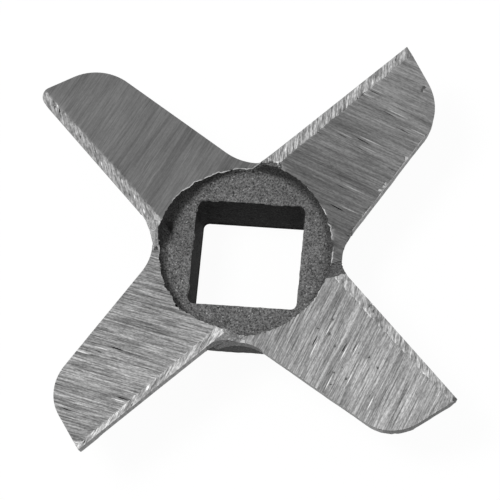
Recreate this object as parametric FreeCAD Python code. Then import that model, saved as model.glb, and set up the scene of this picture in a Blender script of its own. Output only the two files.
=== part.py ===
"""Four-armed knife for a meat grinder: one steel casting with ground cutting faces.

The frame has its origin on the axis of the square drive hole, at the back face of the boss,
where the knife seats on the shoulder of the feed screw. +Z runs along the axis towards the
cutting plane, and X and Y lie along the sides of the drive hole. Lengths are in millimetres
and angles in degrees. The arms come in turn clockwise, as seen from the cutting side.
"""
import FreeCAD, Part
import math
import os

from FreeCAD import Rotation, Vector

# Drive hole and boss
hole_side = 12.8
hole_corner_radius = 0.7
knife_depth = 11.5
boss_side = 19.8
boss_corner_radius = 2.6
boss_draft = 2.0
boss_edge_radius = 0.6

# Arms in plan, at the cutting plane. The offsets are from the axis, square to each edge.
first_arm_turn = 44.7
leading_offset = 6.8
trailing_offset = 8.9
arm_taper = 13.5
tip_rake = 9.5
tip_corner_radius = 5.9
wall_draft = 6.0

# Arms in section
relief_angle = 11.6
blade_thickness = 2.6
root_lean = 20.0
step_radius = 0.5

# Middle that the arms grow from, with a hollow curve up to their backs
root_depth = 5.2
root_radius = 11.8
root_flare = 5.2

# Hand-ground sizes, arm by arm: the distance of the point from the axis and the radius to
# which it is worn, the width of the ground land along the cutting edge at its root and at its
# tip, and the radius of the corner at the root of the cutting edge. Then the step between an
# arm's sloped face and the end of the next arm's land: how far to the arm's side it starts,
# its turn away from square to the arm, and its lean away from upright.
point_reach = (32.05, 31.5, 31.5, 31.35)
point_wear = (1.4, 0, 0, 0)
land_root = (1.40, 1.45, 1.30, 1.10)
land_tip = (1.05, 1.10, 0.80, 0.50)
web_radius = (5.5, 6.0, 6.0, 4.9)
step_side = (8.9, 10.5, 8.4, 8.5)
step_turn = (10, 65, 8, 48)
step_lean = (22, 41, 22, 25)

# Round recess in the cutting side
recess_diameter = 21.0
recess_depth = 3.1
recess_draft = 4.0
recess_floor_radius = 0.9

# Worked out from the sizes above
arm_count = len(land_root)
root_floor = knife_depth - root_depth
recess_floor = knife_depth - recess_depth
step_end = recess_diameter / 5
reach = 2 * max(point_reach)
rise = 1.0

ORIGIN = Vector(0, 0, 0)
X = Vector(1, 0, 0)
Z = Vector(0, 0, 1)


def sin(angle):
    return math.sin(math.radians(angle))


def cos(angle):
    return math.cos(math.radians(angle))


def tan(angle):
    return math.tan(math.radians(angle))


def arm_angle(arm):
    """Direction of an arm's cutting edge about the axis."""
    return 90 + first_arm_turn - arm * 360.0 / arm_count


def crossing(line_a, line_b):
    """Where two lines in plan meet, each given by a point and a direction."""
    (point_a, way_a), (point_b, way_b) = line_a, line_b
    along = (point_b - point_a).cross(way_b).z / way_a.cross(way_b).z
    return point_a + way_a * along


def rounded_wire(corners, z):
    """Closed wire at height z through (point, radius) corners. A radius of 0 stays sharp."""
    lift = Z * z
    bends = []
    for index, (point, radius) in enumerate(corners):
        before = (corners[index - 1][0] - point).normalize()
        after = (corners[(index + 1) % len(corners)][0] - point).normalize()
        half = before.getAngle(after) / 2
        run = radius / math.tan(half)
        middle = (before + after).normalize() * (radius / math.sin(half) - radius)
        bends.append([point + lift + way for way in (before * run, middle, after * run)])
    edges = []
    for index, (start, middle, end) in enumerate(bends):
        if corners[index][1] > 0:
            edges.append(Part.Arc(start, middle, end).toShape())
        following = bends[(index + 1) % len(bends)][0]
        edges.append(Part.LineSegment(end, following).toShape())
    return Part.Wire(edges)


def outward_rise(face):
    """How much a face's outward normal rises: 1 for a top, 0 for a wall, -1 for an underside."""
    u_low, u_high, v_low, v_high = face.ParameterRange
    return face.normalAt((u_low + u_high) / 2, (v_low + v_high) / 2).z


def edges_between(shape, rise_a, rise_b):
    """Edges where a face that rises by rise_a meets one that rises by rise_b."""
    found = []
    for edge in shape.Edges:
        rises = [outward_rise(face) for face in shape.ancestorsOfType(edge, Part.Face)]
        for first, second in ((rise_a, rise_b), (rise_b, rise_a)):
            if len(rises) == 2 and abs(rises[0] - first) < 0.02 and abs(rises[1] - second) < 0.02:
                found.append(edge)
    return found


def arm_lines(arm, inset):
    """An arm's leading, tip and trailing lines in plan, moved in by inset, for crossing()."""
    turn = Rotation(Z, arm_angle(arm))
    point_x = math.sqrt(point_reach[arm] ** 2 - leading_offset ** 2)
    tip_normal = Vector(cos(tip_rake), -sin(tip_rake), 0)
    trailing_normal = Vector(sin(arm_taper), -cos(arm_taper), 0)
    leading = (Vector(0, leading_offset - inset, 0), X)
    tip = (Vector(point_x, leading_offset, 0) - tip_normal * inset, tip_normal.cross(Z))
    trailing = (trailing_normal * (trailing_offset - inset), trailing_normal.cross(Z))
    return [(turn.multVec(point), turn.multVec(way)) for point, way in (leading, tip, trailing)]


def cross_wire(inset, z):
    """Outline of all the arms at height z, with its walls moved in by inset."""
    corners = []
    for arm in reversed(range(arm_count)):
        leading, tip, trailing = arm_lines(arm, inset)
        wear = point_wear[arm]
        point_radius = max(wear - inset, wear / 10)
        corners.append((crossing(trailing, tip), tip_corner_radius - inset))
        corners.append((crossing(tip, leading), point_radius))
        corners.append((crossing(leading, arm_lines(arm - 1, inset)[2]), web_radius[arm] + inset))
    return rounded_wire(corners, z)


def square_wire(side, corner_radius, z):
    """Square outline about the axis at height z."""
    half = side / 2
    signs = ((1, 1), (-1, 1), (-1, -1), (1, -1))
    return rounded_wire([(Vector(a * half, b * half, 0), corner_radius) for a, b in signs], z)


def arms_blank():
    """The whole cross with drafted walls, before its arms get their sloped faces and backs."""
    inset = root_depth * tan(wall_draft)
    return Part.makeLoft([cross_wire(inset, root_floor), cross_wire(0, knife_depth)], True, True)


def sloped_block(arm, drop, above):
    """Block on one side of an arm's sloped face let down by drop, with the arm lying along +X.

    The slope starts at the inner edge of the ground land and falls towards the trailing edge.
    """
    root_x = recess_diameter / 2
    narrowing = math.atan2(land_root[arm] - land_tip[arm], point_reach[arm] - root_x)
    low = 0 if above else -reach
    block = Part.makeBox(2 * reach, 2 * reach, reach, Vector(-reach, -reach, low))
    block.rotate(ORIGIN, X, relief_angle)
    block.rotate(ORIGIN, Z, math.degrees(narrowing))
    block.translate(Vector(root_x, leading_offset - land_root[arm], knife_depth - drop))
    return block


def face_cutter(arm, turn, lean):
    """What is absent above an arm's sloped face, up to a leaning step across its root.

    The step starts on the line of the next arm's cutting edge, turns from it and ends inside
    the recess.
    """
    top = knife_depth + rise
    profile = Part.makePolygon([
        Vector(-rise * tan(lean), -reach, top), Vector(root_depth * tan(lean), -reach, root_floor),
        Vector(reach, -reach, root_floor), Vector(reach, -reach, top),
        Vector(-rise * tan(lean), -reach, top)])
    span = Part.Face(profile).extrude(Vector(0, 2 * reach, 0))
    span.rotate(ORIGIN, Z, turn)
    span.translate(Vector(leading_offset, -step_side[arm], 0))
    outside = Part.makeBox(reach, 2 * reach, top, Vector(step_end, -reach, 0))
    cutter = span.common(outside).common(sloped_block(arm, 0, True))
    foot = edges_between(cutter, -sin(lean), -cos(relief_angle))
    cutter = cutter.makeFillet(step_radius, foot)
    cutter.rotate(ORIGIN, Z, arm_angle(arm))
    return cutter


def back_cutter(arm, root):
    """What is absent below an arm's back, which runs parallel to its face as far as the root."""
    span = Part.makeBox(reach, 2 * reach, knife_depth, Vector(leading_offset, -reach, 0))
    cutter = span.common(sloped_block(arm, blade_thickness, False))
    cutter.rotate(ORIGIN, Z, arm_angle(arm))
    return cutter.cut(root)


def flared_root():
    """The round middle, whose side curves outwards as it rises to meet the backs of the arms."""
    centre = Vector(root_radius + root_flare, 0, root_floor)
    foot, middle, lip = (centre + Vector(-cos(turn), 0, sin(turn)) * root_flare
                         for turn in (0, 45, 90))
    base = Part.LineSegment(Z * root_floor, foot)
    side = Part.Arc(foot, middle, lip)
    top = Part.LineSegment(lip, Z * lip.z)
    axis = Part.LineSegment(Z * lip.z, Z * root_floor)
    outline = Part.Wire([line.toShape() for line in (base, side, top, axis)])
    return Part.Face(outline).revolve(ORIGIN, Z, 360)


def arms():
    """The four sloped arms about their flared root.

    Each face stops at the line of the next cutting edge, and at the step where that one ends.
    """
    root = flared_root()
    body = arms_blank()
    for arm in range(arm_count):
        body = body.cut(face_cutter(arm, 0, root_lean))
        body = body.cut(face_cutter(arm, step_turn[arm], step_lean[arm]))
        body = body.cut(back_cutter(arm, root))
    return body.removeSplitter()


def boss():
    """The square boss on the back, narrower at its rear face so that it left the mould."""
    spread = 2 * recess_floor * tan(boss_draft)
    rear = square_wire(boss_side, boss_corner_radius, 0)
    front = square_wire(boss_side + spread, boss_corner_radius + spread / 2, recess_floor)
    body = Part.makeLoft([rear, front], True, True)
    return body.makeFillet(boss_edge_radius, edges_between(body, -1, -sin(boss_draft)))


def recess():
    """The shallow round recess in the cutting side, with its rounded floor corner."""
    mouth_radius = recess_diameter / 2 + rise * tan(recess_draft)
    floor_radius = recess_diameter / 2 - recess_depth * tan(recess_draft)
    body = Part.makeCone(floor_radius, mouth_radius, recess_depth + rise, Z * recess_floor)
    return body.makeFillet(recess_floor_radius, edges_between(body, -1, -sin(recess_draft)))


def drive_hole():
    """The square hole right through the knife."""
    wire = square_wire(hole_side, hole_corner_radius, -rise)
    return Part.Face(wire).extrude(Z * (knife_depth + 2 * rise))


def knife():
    """The finished knife."""
    return arms().fuse(boss()).cut(recess()).cut(drive_hole()).removeSplitter()


os.makedirs("parts", exist_ok=True)
shape = knife()
print("valid", shape.isValid(), "solids", len(shape.Solids), "volume", round(shape.Volume, 1))
shape.exportStep("parts/knife.step")
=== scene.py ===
"""A four-armed meat grinder knife, cast in steel and ground by hand, on a plain pale table."""
import math

import bpy
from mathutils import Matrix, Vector, noise


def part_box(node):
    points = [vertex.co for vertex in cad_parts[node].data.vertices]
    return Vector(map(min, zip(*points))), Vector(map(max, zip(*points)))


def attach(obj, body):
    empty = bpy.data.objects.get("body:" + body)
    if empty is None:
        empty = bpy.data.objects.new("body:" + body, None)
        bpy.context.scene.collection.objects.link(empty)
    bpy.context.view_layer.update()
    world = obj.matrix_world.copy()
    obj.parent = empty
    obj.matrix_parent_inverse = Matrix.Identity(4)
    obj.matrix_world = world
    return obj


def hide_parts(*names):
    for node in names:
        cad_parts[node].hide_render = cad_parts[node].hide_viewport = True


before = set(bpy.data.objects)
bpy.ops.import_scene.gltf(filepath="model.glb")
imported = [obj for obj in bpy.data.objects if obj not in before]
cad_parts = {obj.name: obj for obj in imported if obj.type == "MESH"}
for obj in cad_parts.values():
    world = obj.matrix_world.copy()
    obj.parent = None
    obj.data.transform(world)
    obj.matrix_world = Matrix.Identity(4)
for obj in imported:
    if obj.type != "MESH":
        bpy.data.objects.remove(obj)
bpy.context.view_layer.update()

# The casting. The knife is one piece of steel, cast in a sand mould: four sloped arms round a
# shallow recess, with a square boss behind. The mould leaves a grainy skin wherever the
# grinder doesn't reach, and the grinder leaves scratches, burrs and ragged edges.
MM = 0.001
ANY_HEIGHT = 1e6
CUTTING_PLANE = 11.5 * MM
RECESS_FLOOR = 8.4 * MM
RECESS_RADIUS = 10.5 * MM
HALF_HOLE = 6.4 * MM
BOSS_REACH = 10.3 * MM
ROOT_RADIUS = 13.5 * MM
ARMS_BACK = 6.2 * MM


def new_metal(name, metallic, roughness, shine=0.5):
    """A metal, its node tree and its shader."""
    metal = bpy.data.materials.new(name)
    metal.use_nodes = True
    tree = metal.node_tree
    shader = next(item for item in tree.nodes if item.type == "BSDF_PRINCIPLED")
    shader.inputs["Metallic"].default_value = metallic
    shader.inputs["Roughness"].default_value = roughness
    shader.inputs["Specular IOR Level"].default_value = shine
    return metal, tree, shader


def pattern(tree, stretch, turn=0.0, shift=(0, 0, 0)):
    """Object coordinates in millimetres, turned about the axis, divided by stretch and shifted."""
    place = tree.nodes.new("ShaderNodeTexCoord")
    turned = tree.nodes.new("ShaderNodeMapping")
    turned.inputs["Rotation"].default_value = (0, 0, math.radians(-turn))
    turned.inputs["Scale"].default_value = (1 / MM, 1 / MM, 1 / MM)
    sized = tree.nodes.new("ShaderNodeMapping")
    sized.inputs["Location"].default_value = shift
    sized.inputs["Scale"].default_value = [1 / size for size in stretch]
    tree.links.new(place.outputs["Object"], turned.inputs["Vector"])
    tree.links.new(turned.outputs["Vector"], sized.inputs["Vector"])
    return sized.outputs["Vector"]


def mottle(tree, vector, detail=3.0, roughness=0.6):
    """A soft noise between 0 and 1 on a pattern."""
    made = tree.nodes.new("ShaderNodeTexNoise")
    made.inputs["Scale"].default_value = 1
    made.inputs["Detail"].default_value = detail
    made.inputs["Roughness"].default_value = roughness
    tree.links.new(vector, made.inputs["Vector"])
    return made.outputs["Fac"]


def grade(tree, value, stops):
    """A value made into a grey by (value, grey) stops."""
    made = tree.nodes.new("ShaderNodeValToRGB")
    while len(made.color_ramp.elements) < len(stops):
        made.color_ramp.elements.new(0.5)
    for element, (place, grey) in zip(made.color_ramp.elements, stops):
        element.position = place
        element.color = (grey, grey, grey, 1)
    tree.links.new(value, made.inputs["Fac"])
    return made.outputs["Color"]


def blend(tree, way, first, second):
    """Two greys mixed in a way such as MULTIPLY. The second may be a plain grey."""
    made = tree.nodes.new("ShaderNodeMix")
    made.data_type = "RGBA"
    made.blend_type = way
    made.inputs[0].default_value = 1
    tree.links.new(first, made.inputs[6])
    if isinstance(second, float):
        made.inputs[7].default_value = (second, second, second, 1)
    else:
        tree.links.new(second, made.inputs[7])
    return made.outputs[2]


def spots(tree, vector, share, size):
    """Spots of 1 on 0, in a share of a pattern's cells and of a size in cells."""
    cells = tree.nodes.new("ShaderNodeTexVoronoi")
    cells.inputs["Scale"].default_value = 1
    tree.links.new(vector, cells.inputs["Vector"])
    near = grade(tree, cells.outputs["Distance"], ((size * 0.5, 1), (size, 0)))
    lucky = grade(tree, cells.outputs["Color"], ((share, 1), (share + 0.02, 0)))
    return blend(tree, "MULTIPLY", near, lucky)


def relief(tree, shader, height, depth, under=None):
    """Bump of a depth from a height, on top of an earlier one."""
    made = tree.nodes.new("ShaderNodeBump")
    made.inputs["Strength"].default_value = 1
    made.inputs["Distance"].default_value = depth
    tree.links.new(height, made.inputs["Height"])
    if under is not None:
        tree.links.new(under, made.inputs["Normal"])
    tree.links.new(made.outputs["Normal"], shader.inputs["Normal"])
    return made.outputs["Normal"]


def away_from_middle(tree, stretch, shift=(0, 0, 0)):
    """How far a spot lies from the middle of a pattern."""
    made = tree.nodes.new("ShaderNodeVectorMath")
    made.operation = "LENGTH"
    tree.links.new(pattern(tree, stretch, shift=shift), made.inputs[0])
    return made.outputs["Value"]


def wandering(tree, value, patches, amount):
    """A value plus an amount of a noise, so that its levels wander."""
    made = tree.nodes.new("ShaderNodeMath")
    made.operation = "MULTIPLY_ADD"
    made.inputs[1].default_value = amount
    tree.links.new(patches, made.inputs[0])
    tree.links.new(value, made.inputs[2])
    return made.outputs[0]


def cast_skin(name, dark, light, metallic=0.15, shine=0.25, dark_ovals=()):
    """The dull grainy skin that a sand mould leaves, made darker inside or outside some ovals."""
    metal, tree, shader = new_metal(name, metallic, 0.7, shine)
    grain = mottle(tree, pattern(tree, (0.2, 0.2, 0.2)), 3, 0.8)
    patches = mottle(tree, pattern(tree, (1.6, 1.6, 1.6), shift=(3, 1, 2)), 3, 0.6)
    colour = grade(tree, grain, ((0.36, dark), (0.64, light)))
    colour = blend(tree, "MULTIPLY", colour, grade(tree, patches, ((0.3, 0.66), (0.7, 1.0))))
    glints = spots(tree, pattern(tree, (0.32, 0.32, 0.32)), 0.3, 0.32)
    colour = blend(tree, "ADD", colour, blend(tree, "MULTIPLY", glints, light * 0.8))
    for half_x, half_y, shift, amount, stops in dark_ovals:
        away = away_from_middle(tree, (half_x, half_y, ANY_HEIGHT), shift)
        away = wandering(tree, away, patches, amount)
        colour = blend(tree, "MULTIPLY", colour, grade(tree, away, stops))
    tree.links.new(colour, shader.inputs["Base Color"])
    relief(tree, shader, grain, 0.09 * MM)
    return metal


def ground_steel(name, turn, dark, light, contrast, shift, root=1.0, length=1.0):
    """Steel with the straight scratches of a grinding belt, at an angle to X seen from above.

    It may be darker towards the root of an arm, and its scratches shorter or longer.
    """
    metal, tree, shader = new_metal(name, 1, 0.55)
    fine = mottle(tree, pattern(tree, (7 * length, 0.17, 8), turn, shift), 2, 0.7)
    crossed = mottle(tree, pattern(tree, (4.5 * length, 0.24, 8), turn + 3, shift), 2, 0.7)
    grain = mottle(tree, pattern(tree, (0.4, 0.15, 0.3), turn, shift), 2, 0.6)
    broad = mottle(tree, pattern(tree, (4, 2.4, 4), turn, shift), 2, 0.5)
    long = mottle(tree, pattern(tree, (24 * length, 0.75, 8), turn - 1, shift), 1, 0.5)
    out = away_from_middle(tree, (30, 30, ANY_HEIGHT))
    colour = grade(tree, fine, ((0.36, dark), (0.64, light)))
    shades = (
        (crossed, ((0.36, 1 - 0.32 * contrast), (0.6, 1.0))),
        (grain, ((0.36, 1 - 0.25 * contrast), (0.6, 1.0))),
        (broad, ((0.3, 0.88), (0.7, 1.0))),
        (long, ((0.36, 0.82), (0.46, 1.0))),
        (out, ((0.38, root), (0.85, 1.0))),
    )
    for layer, stops in shades:
        colour = blend(tree, "MULTIPLY", colour, grade(tree, layer, stops))
    bright = spots(tree, pattern(tree, (9 * length, 0.5, 9), turn + 1, shift), 0.42, 0.17)
    colour = blend(tree, "ADD", colour, blend(tree, "MULTIPLY", bright, light * 0.5 * contrast))
    deep = spots(tree, pattern(tree, (7 * length, 0.5, 9), turn - 2, shift), 0.42, 0.17)
    colour = blend(tree, "SUBTRACT", colour, blend(tree, "MULTIPLY", deep, dark * 0.5 * contrast))
    tree.links.new(colour, shader.inputs["Base Color"])
    under = relief(tree, shader, fine, 0.006 * MM)
    relief(tree, shader, crossed, 0.008 * MM, under)
    return metal


# The recess is made darker in a ring under its rim, and in an oval patch at its left. Each
# oval has its half widths in millimetres, its shift in half widths, how far its edge wanders, and
# its greys from its middle outwards.
RECESS_DARK_OVALS = (
    (10.4, 11.3, (0, 0, 0), 0.14, ((0.96, 1.0), (1.0, 0.5))),
    (1.3, 2.4, (7.23, -1.15, 0), 1.2, ((0.9, 0.35), (1.0, 1.0))),
)

# The skins by their place. A cast one has its dark and light grey, then how metallic and how
# shiny it is. A ground one has the turn of its scratches, its greys and their contrast.
metals = {
    "back": cast_skin("cast_skin", 0.03, 0.12, 0.1),
    "recess": cast_skin("recess_skin", 0.025, 0.38, dark_ovals=RECESS_DARK_OVALS),
    "boss": cast_skin("boss_skin", 0.03, 0.12, 0.1),
    # The hole's walls are the recess's cast skin made far darker, painted shade inside the hole.
    "hole": cast_skin("hole_skin_painted_shade", 0.008, 0.06, 0, 0.05),
    "dark_step": cast_skin("dark_step_skin", 0.02, 0.32),
    "web_wall": cast_skin("web_wall_skin", 0.10, 0.42),
    # The rough step's light greys are painted light, for the shade it stands in, turned from the
    # soft box.
    "rough_step": cast_skin("rough_step_skin_painted_light", 0.35, 0.95, 0.3, 0.5),
    "pit": cast_skin("pit_skin", 0.09, 0.22),
    # The burr's bright greys are partly bare metal and partly a painted highlight along the edges.
    "burr": cast_skin("burr_skin_and_highlight", 0.6, 0.95, 0.15, 0.5),
    "side": ground_steel("arm_side", 90, 0.22, 0.34, 0.6, (4, 3, 1)),
    # The walls at the arms' curved ends are darker than the sides: a painted shadow line.
    "tip": ground_steel("arm_tip_painted_shade", 90, 0.10, 0.17, 0.6, (2, 3, 1)),
    "seat": ground_steel("boss_seat", 30, 0.16, 0.28, 1, (1, 2, 3)),
}

# Each arm's face was ground in its own way. For each, the turn of the scratches, the greys, how
# strong the scratches are, how dark the root is, and how long the scratches are. Then for its
# land, the turn of the scratches and the light grey. The greys differ from arm to arm partly as
# painted light and shade, for the way the light falls on each tilted face and land.
ARMS = {
    "upper_left": (65.5, 0.29, 0.37, 0.45, 1.0, 1.0),
    "upper_right": (-20, 0.37, 0.53, 1.05, 0.6, 1.1),
    "lower_right": (66, 0.27, 0.51, 1.4, 0.75, 0.85),
    "lower_left": (-16, 0.31, 0.70, 1.5, 0.96, 0.8),
}
LANDS = {
    "upper_left": (108, 0.65),
    "upper_right": (90, 0.9),
    "lower_right": (88, 0.85),
    "lower_left": (68, 0.9),
}
for number, arm in enumerate(ARMS):
    shift = (3.7 * number, 5.1 * number, 0)
    name = "face_" + arm
    turn, dark, light, contrast, root, length = ARMS[arm]
    metals[name] = ground_steel(name, turn, dark, light, contrast, shift, root, length)
    name = "land_" + arm
    turn, light = LANDS[arm]
    metals[name] = ground_steel(name, turn, 0.36, light, 1.5, shift, length=0.25)
SKINS = list(metals)

# The solid's own mesh, with these skins.
casting = bpy.data.objects.new("knife_casting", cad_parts["knife"].data.copy())
bpy.context.scene.collection.objects.link(casting)
casting.data.materials.clear()
for metal in metals.values():
    casting.data.materials.append(metal)
bpy.ops.object.select_all(action="DESELECT")
bpy.context.view_layer.objects.active = casting
casting.select_set(True)


def skin_of(face):
    """Which of the knife's skins a face has, by its place and the way it looks.

    The arms come in turn clockwise from a bearing of 145 degrees. Their sloped faces are tilted
    by 11.6 degrees. Their walls have a draft of 6 degrees, and those of the boss 2 degrees.
    """
    middle, normal = face.center, face.normal
    out = math.hypot(middle.x, middle.y)
    square_out = max(abs(middle.x), abs(middle.y))
    bearing = math.degrees(math.atan2(middle.y, middle.x))
    inward = -(normal.x * middle.x + normal.y * middle.y) / max(out * math.hypot(*normal.xy), 1e-9)
    arm = list(ARMS)[round((145 - bearing) / 90) % 4]
    if normal.z > 0.9995 and middle.z > CUTTING_PLANE - 0.02 * MM:
        return "land_" + arm
    if normal.z < -0.99 and middle.z < 0.02 * MM:
        return "seat"
    if square_out < HALF_HOLE + 0.01 * MM and abs(normal.z) < 0.1:
        return "hole"
    if square_out < BOSS_REACH and (abs(normal.z + 0.035) < 0.02 or middle.z < MM):
        return "boss"
    if out < RECESS_RADIUS and middle.z > RECESS_FLOOR - 0.1 * MM and normal.z > -0.1:
        if inward > 0.8 or middle.z < RECESS_FLOOR + 0.03 * MM:
            return "recess"
    if 0.974 < normal.z < 0.985 and middle.z > 7 * MM:
        return "face_" + arm
    if middle.z > ARMS_BACK and abs(normal.z + 0.1045) < 0.03:
        if out < ROOT_RADIUS:
            return "web_wall"
        return "tip" if inward < -0.6 and out > 20 * MM else "side"
    if middle.z > ARMS_BACK and normal.z > 0.2:
        if 45 < bearing < 135:
            return "face_upper_left"
        return "dark_step" if -45 < bearing < 45 else "rough_step"
    return "back"


def edges_between(piece, first, second):
    """The edges of a piece where skins of one set meet skins of another."""
    met = {}
    for face in piece.data.polygons:
        for edge in face.edge_keys:
            met.setdefault(edge, set()).add(SKINS[face.material_index])
    return {edge for edge, skins in met.items() if skins & first and skins & second}


def pick_edges(piece, wanted, shortest=0.0):
    """Select those edges of a piece that are longer than shortest, and go into edit mode."""
    bpy.context.tool_settings.mesh_select_mode = (False, True, False)
    bpy.ops.object.mode_set(mode="EDIT")
    bpy.ops.mesh.select_all(action="DESELECT")
    bpy.ops.object.mode_set(mode="OBJECT")
    points = piece.data.vertices
    for edge in piece.data.edges:
        start, end = (points[number].co for number in edge.vertices)
        edge.select = edge.key in wanted and (end - start).length > shortest
    bpy.ops.object.mode_set(mode="EDIT")


def pick_faces(piece, wanted):
    """Select the faces of a piece that a test holds for, and go into edit mode."""
    bpy.context.tool_settings.mesh_select_mode = (False, False, True)
    bpy.ops.object.mode_set(mode="EDIT")
    bpy.ops.mesh.select_all(action="DESELECT")
    bpy.ops.object.mode_set(mode="OBJECT")
    for face in piece.data.polygons:
        face.select = wanted(face)
    bpy.ops.object.mode_set(mode="EDIT")


def slice_up(spacing, low, high, axis):
    """Bisect what is in view, square to an axis, every spacing from low to high."""
    way = Vector((0, 0, 0))
    way[axis] = 1
    for step in range(1, math.ceil((high - low) / spacing)):
        bpy.ops.mesh.select_all(action="SELECT")
        place = way * (low + step * spacing)
        bpy.ops.mesh.bisect(plane_co=place, plane_no=way, threshold=0.03 * MM)


def waver(place, size, seed):
    """A steady random number between -1 and 1 that changes over a size."""
    return 2 * noise.noise(place / size + Vector((seed, 2 * seed, 3 * seed)))


# The skins are told apart while every surface is still one flat face.
bpy.ops.object.mode_set(mode="EDIT")
bpy.ops.mesh.select_all(action="SELECT")
bpy.ops.mesh.customdata_custom_splitnormals_clear()
bpy.ops.mesh.remove_doubles(threshold=1e-6)
bpy.ops.mesh.dissolve_limited(angle_limit=math.radians(0.6))
bpy.ops.object.mode_set(mode="OBJECT")
for face in casting.data.polygons:
    face.material_index = SKINS.index(skin_of(face))

# The mouth of the hole is worn round.
MOUTH_WEAR = 0.2 * MM
pick_edges(casting, edges_between(casting, {"recess"}, {"hole"}))
bpy.ops.mesh.bevel(offset=MOUTH_WEAR, segments=2, material=SKINS.index("recess"))
bpy.ops.object.mode_set(mode="OBJECT")

# A burr stands on the rim of the recess, broken in places, and on the trailing edge of the
# upper right arm. Its bright skin is partly bare ground metal and partly a painted highlight
# along these edges.
BURR_WIDTH = 0.09 * MM
BURR_HEIGHT = 0.07 * MM
faces = {"face_" + arm for arm in ARMS}
burred = set()
for edge in edges_between(casting, faces, {"recess", "side"}):
    spot = sum((casting.data.vertices[number].co for number in edge), Vector()) / 2
    bearing = math.degrees(math.atan2(spot.y, spot.x))
    if math.hypot(spot.x, spot.y) < 12 * MM:
        if 82 < bearing < 152 or (-5 < bearing < 52 and waver(spot, 0.9 * MM, 4) > -0.3):
            burred.add(edge)
    elif 10 < bearing < 37 and spot.y < 0.95 * spot.x - 3 * MM:
        burred.add(edge)
pick_edges(casting, burred)
bpy.ops.mesh.bevel(offset=BURR_WIDTH, segments=1, material=SKINS.index("burr"))
bpy.ops.object.mode_set(mode="OBJECT")

# A grid fine enough for the wear. The cast skins about the axis get one twice as fine, for
# their grain.
COARSE_GRID = 0.5 * MM
FINE_GRID = 0.25 * MM
FINE_REACH = 12.5 * MM
CAST = {"back", "boss", "recess", "hole", "dark_step", "web_wall", "rough_step"}
FINE = {SKINS.index(skin) for skin in CAST - {"back", "boss"}}
low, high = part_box("knife")
bpy.ops.object.mode_set(mode="EDIT")
for axis in (0, 1, 2):
    slice_up(COARSE_GRID, low[axis], high[axis], axis)
bpy.ops.object.mode_set(mode="OBJECT")
pick_faces(casting, lambda face: face.material_index in FINE)
bpy.ops.mesh.hide(unselected=True)
for axis in (0, 1):
    slice_up(FINE_GRID, -FINE_REACH, FINE_REACH, axis)
slice_up(FINE_GRID, low.z, high.z, 2)
bpy.ops.mesh.reveal(select=False)
bpy.ops.object.mode_set(mode="OBJECT")

# The mould leaves round edges along the backs of the arms and at the foot of the boss. The
# points on them and next to them are smoothed, short of the ground top.
lands = {"land_" + arm for arm in ARMS}
tops = lands | faces | {"dark_step", "rough_step", "burr"}
round_edges = edges_between(casting, {"back"}, {"side", "tip"})
for edge in edges_between(casting, {"back"}, {"boss"}):
    if casting.data.vertices[edge[0]].co.z > 5 * MM:
        round_edges.add(edge)
round_points = {point for edge in round_edges for point in edge}
for edge in casting.data.edges:
    if not round_points.isdisjoint(edge.vertices):
        round_edges.add(edge.key)
above = set()
for face in casting.data.polygons:
    if SKINS[face.material_index] in tops | {"recess", "hole"}:
        above.update(face.vertices)
pick_edges(casting, {edge for edge in round_edges if above.isdisjoint(edge)})
bpy.ops.mesh.vertices_smooth(factor=0.5, repeat=4)
bpy.ops.object.mode_set(mode="OBJECT")

# The inner border of the lands, the rim of the recess and the mouth of the hole are ragged, but
# the mouth not at its right nor at its bottom. The rim swells in places, each with its bearing
# and spread in degrees and its swell in millimetres.
MOUTH_SIDE = 5.8 * MM
RAGGED = 0.08
SWELLS = ((92, 15, 0.35), (-134, 5, 0.40), (-91, 4, 0.45))
for first, second in ((lands, faces), (tops, {"recess", "burr"}), ({"recess"}, {"hole"})):
    ragged = edges_between(casting, first, second) - edges_between(casting, {"burr"}, {"side"})
    pick_edges(casting, ragged, 0.3 * MM)
    bpy.ops.mesh.subdivide(number_cuts=2)
    bpy.ops.object.mode_set(mode="OBJECT")
    border = {point for edge in edges_between(casting, first, second) for point in edge}
    others = edges_between(casting, set(SKINS) - first - second, first | second)
    border -= {point for edge in others for point in edge}
    for number in border:
        spot = casting.data.vertices[number].co
        if second == {"hole"} and (spot.x > MOUTH_SIDE or spot.y < -MOUTH_SIDE):
            continue
        out = Vector((spot.x, spot.y, 0)).normalized()
        shift = RAGGED * waver(spot, 0.35 * MM, 1) + RAGGED * waver(spot, 1.4 * MM, 2)
        if "recess" in second:
            bearing = math.degrees(math.atan2(out.y, out.x))
            for middle, spread, swell in SWELLS:
                shift += swell * math.exp(-((bearing - middle) / spread) ** 2)
        across = Vector((-out.y, out.x, 0)) if first == lands else out
        casting.data.vertices[number].co = spot + across * shift * MM

# The lip of the burr stands up.
for number in {point for edge in edges_between(casting, {"burr"}, {"recess"}) for point in edge}:
    spot = casting.data.vertices[number].co
    spot.z = min(spot.z + BURR_HEIGHT, CUTTING_PLANE)

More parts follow.
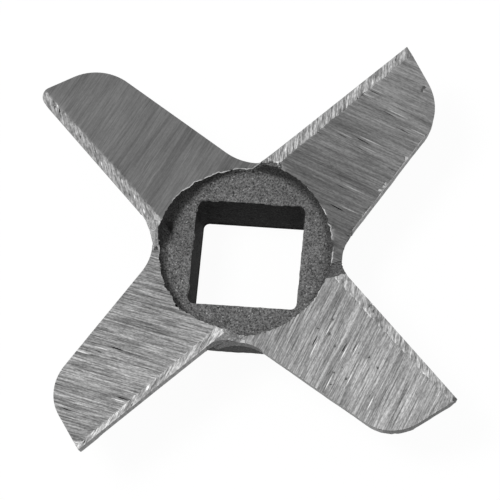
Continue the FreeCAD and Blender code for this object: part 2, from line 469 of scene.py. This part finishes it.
# Pits that the grinder didn't reach, dark chips and bright nicks, by the skin inside them.
# Each has its place in plan, its radius and its depth in millimetres.
MARKS = {
    "pit": (
        (11.2, -8.2, 0.15, 0.08), (9.5, -9.3, 0.12, 0.08), (10.9, -9.9, 0.15, 0.08),
        (11.7, -11.3, 0.16, 0.08), (14.4, -12.1, 0.12, 0.08), (15.8, -12.5, 0.15, 0.08),
        (16.9, -13.7, 0.15, 0.08), (13.3, -15.1, 0.15, 0.08), (12.7, -13.8, 0.11, 0.08),
        (19.2, -11.7, 0.15, 0.08), (11.8, -14.4, 0.12, 0.08), (11.5, -15.8, 0.12, 0.08),
        (15.5, -6.4, 0.20, 0.10), (15.9, -7.0, 0.20, 0.10), (26.2, -17.0, 0.15, 0.08),
        (-24.6, 16.0, 0.20, 0.08), (19.5, 21.7, 0.25, 0.06), (19.3, 21.3, 0.20, 0.06),
        (9.5, 10.9, 0.18, 0.06),
    ),
    "dark_step": (
        (-10.8, -0.2, 0.25, 0.15), (1.2, 10.7, 0.35, 0.25), (1.7, 10.6, 0.38, 0.25),
        (2.2, 10.5, 0.38, 0.25), (2.7, 10.3, 0.38, 0.25), (3.2, 10.2, 0.35, 0.25),
    ),
    "burr": (
        (-1.3, -10.9, 0.35, 0.05), (-0.8, -11.3, 0.30, 0.05), (0.6, -11.3, 0.35, 0.05),
        (11.8, -2.9, 0.28, 0.05), (12.3, -3.7, 0.25, 0.05), (15.3, 8.7, 0.20, 0.08),
        (15.6, 9.2, 0.18, 0.08), (15.8, 9.6, 0.14, 0.08), (13.3, 5.5, 0.16, 0.08),
        (18.2, 12.9, 0.14, 0.06), (-10.8, 2.7, 0.28, 0.04), (-10.6, 2.1, 0.22, 0.04),
        (-10.8, 1.0, 0.30, 0.04), (-10.5, 0.5, 0.22, 0.04),
    ),
}


def marks_near(spot, spread, margin=0.0):
    """The marks that a spot is near in plan, within spread times their radius and a margin.

    Each comes as its skin, how far the spot lies from its middle in radii, and its depth.
    """
    found = []
    for skin, marks in MARKS.items():
        for x, y, radius, depth in marks:
            away = math.hypot(spot.x / MM - x, spot.y / MM - y)
            if away < spread * radius + margin:
                found.append((skin, away / radius, depth))
    return found


pick_faces(casting, lambda face: face.normal.z > 0.5 and marks_near(face.center, 1, 0.4) != [])
bpy.ops.mesh.subdivide(number_cuts=3)
bpy.ops.object.mode_set(mode="OBJECT")
upper = set()
for face in casting.data.polygons:
    if face.normal.z > 0.5:
        upper.update(face.vertices)
        spread = 0.9 + 0.3 * waver(face.center, 0.3 * MM, 6)
        for skin, *_ in marks_near(face.center, spread):
            face.material_index = SKINS.index(skin)
for number in upper:
    spot = casting.data.vertices[number].co
    for skin, away, depth in marks_near(spot, 1):
        spot.z -= depth * (1 - away ** 2) * MM

# The mould's lumps and grain, sunk into everything that isn't ground.
grainy, ground = set(), set()
for face in casting.data.polygons:
    if SKINS[face.material_index] in CAST:
        grainy.update(face.vertices)
    else:
        ground.update(face.vertices)
cast_points = casting.vertex_groups.new(name="cast_skin")
cast_points.add(sorted(grainy - ground), 1, "REPLACE")
for name, size, depth in (("cast_lumps", 1.7, 0.10), ("cast_grain", 0.4, 0.08)):
    lumps = bpy.data.textures.new(name, "CLOUDS")
    lumps.noise_scale = size * MM
    lumps.noise_depth = 2
    rough = casting.modifiers.new(name, "DISPLACE")
    rough.texture = lumps
    rough.texture_coords = "LOCAL"
    rough.vertex_group = cast_points.name
    rough.strength = depth * MM
    rough.mid_level = 1
    bpy.ops.object.modifier_apply(modifier=rough.name)

# The stone of the grinder cuts off whatever would stand above the cutting plane.
for point in casting.data.vertices:
    point.co.z = min(point.co.z, CUTTING_PLANE)
bpy.ops.object.shade_smooth_by_angle(angle=math.radians(40))

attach(casting, "root")
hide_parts("knife")

# The table. A plain sheet of white paper under the knife, which shows as white and keeps a
# soft shadow.
bpy.ops.object.select_all(action="DESELECT")
bpy.ops.mesh.primitive_plane_add(size=12, location=(0, 0, 0))
table = bpy.context.object
table.name = "table"
paper = bpy.data.materials.new("white_paper")
paper.use_nodes = True
tree = paper.node_tree
sheet = next(item for item in tree.nodes if item.type == "BSDF_PRINCIPLED")
sheet.inputs["Base Color"].default_value = (0.82, 0.82, 0.82, 1)
sheet.inputs["Roughness"].default_value = 0.9

# The camera, and metal that mirrors the sheet, see it as white.
glow = tree.nodes.new("ShaderNodeEmission")
glow.inputs["Strength"].default_value = 1.03
rays = tree.nodes.new("ShaderNodeLightPath")
seen = rays.outputs["Is Camera Ray"]
for other in ("Is Glossy Ray", "Is Transmission Ray"):
    either = tree.nodes.new("ShaderNodeMath")
    either.operation = "MAXIMUM"
    tree.links.new(seen, either.inputs[0])
    tree.links.new(rays.outputs[other], either.inputs[1])
    seen = either.outputs[0]

# The rest of what is seen is the sheet itself, which carries the shadow.
share = tree.nodes.new("ShaderNodeMath")
share.operation = "MULTIPLY"
share.inputs[1].default_value = 0.93
tree.links.new(seen, share.inputs[0])
mixed = tree.nodes.new("ShaderNodeMixShader")
tree.links.new(share.outputs[0], mixed.inputs[0])
tree.links.new(sheet.outputs[0], mixed.inputs[1])
tree.links.new(glow.outputs[0], mixed.inputs[2])
output = next(item for item in tree.nodes if item.type == "OUTPUT_MATERIAL")
tree.links.new(mixed.outputs[0], output.inputs["Surface"])
table.data.materials.append(paper)

# The light. A soft box from the left and a plain room all round.
world = bpy.data.worlds.new("room")
bpy.context.scene.world = world
world.use_nodes = True
room = next(item for item in world.node_tree.nodes if item.type == "BACKGROUND")
room.inputs["Color"].default_value = (1, 1, 1, 1)
room.inputs["Strength"].default_value = 0.4

bpy.ops.object.light_add(type="AREA", location=(-0.243, 0.021, 0.548))
soft_box = bpy.context.object
soft_box.name = "soft_box"
soft_box.data.size = 0.2
soft_box.data.energy = 1.8
soft_box.rotation_euler = Vector(soft_box.location).to_track_quat("Z", "Y").to_euler()

# The camera. A long lens looks down on the knife, a little from the right.
bpy.ops.object.camera_add(location=(0.044583, -0.140073, 0.421093),
                          rotation=(0.335236, 0.074271, 0.094848))
camera = bpy.context.object
camera.data.sensor_width = 36
camera.data.lens = 265.51
bpy.context.scene.camera = camera
bpy.context.scene.view_settings.view_transform = "Standard"
